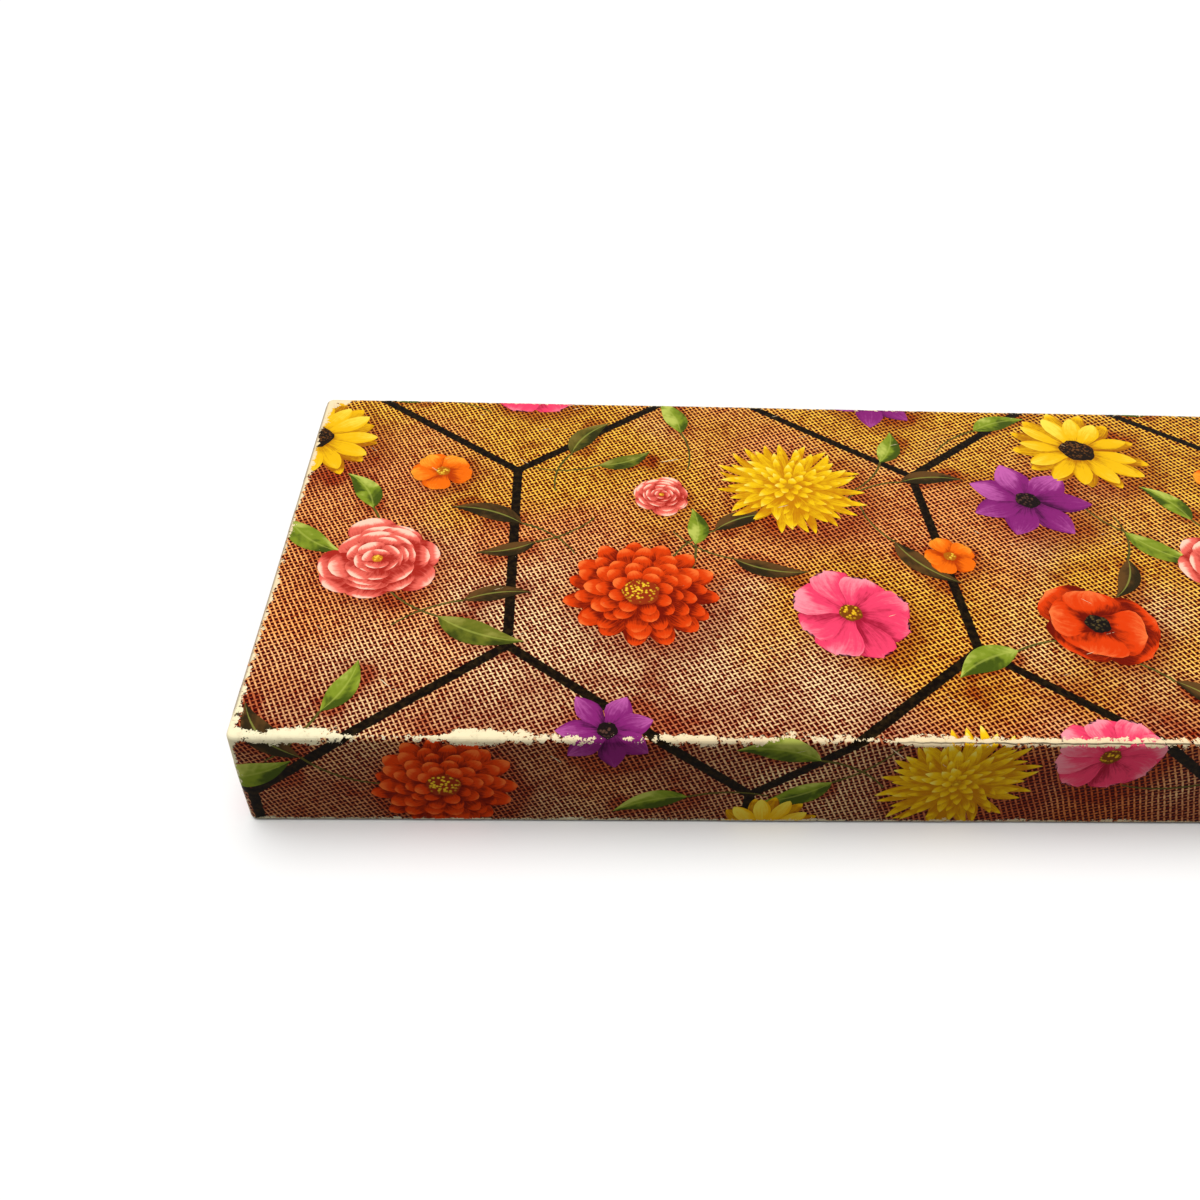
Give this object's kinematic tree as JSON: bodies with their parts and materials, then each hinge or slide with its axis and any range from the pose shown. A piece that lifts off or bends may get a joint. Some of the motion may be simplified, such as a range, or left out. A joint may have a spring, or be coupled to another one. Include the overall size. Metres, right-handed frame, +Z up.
{
  "type": "covered keepsake box",
  "caption": "Shallow rectangular chipboard box with a full-depth lift-off lid, covered in floral printed paper.",
  "frame": {"origin": "middle of the underside, on the surface that the box stands on", "axes": "+X along the box's length to the right, +Y from the front wall to the back wall, +Z up through the lid"},
  "size_m": [0.305, 0.14, 0.0309],
  "materials": {
    "printed_paper": "satin",
    "plain_paper": "matte",
    "lining_paper": "matte",
    "chipboard": "matte",
    "gummed_paper": "matte"
  },
  "bodies": {
    "tray": {"tray_board": "chipboard", "tray_corner_stay_back_right": "gummed_paper", "tray_corner_stay_back_left": "gummed_paper", "tray_corner_stay_front_left": "gummed_paper", "tray_corner_stay_front_right": "gummed_paper", "tray_wrap": "plain_paper", "tray_base_sheet": "plain_paper", "tray_lining": "lining_paper"},
    "lid": {"lid_board": "chipboard", "lid_corner_stay_back_right": "gummed_paper", "lid_corner_stay_back_left": "gummed_paper", "lid_corner_stay_front_left": "gummed_paper", "lid_corner_stay_front_right": "gummed_paper", "lid_wrap": "printed_paper", "lid_lining": "lining_paper"}
  },
  "joints": [
    {"name": "lid_lift", "type": "slide", "parent": "tray", "child": "lid", "axis": [0, 0, 1], "range_m": [0, 0.045]}
  ]
}
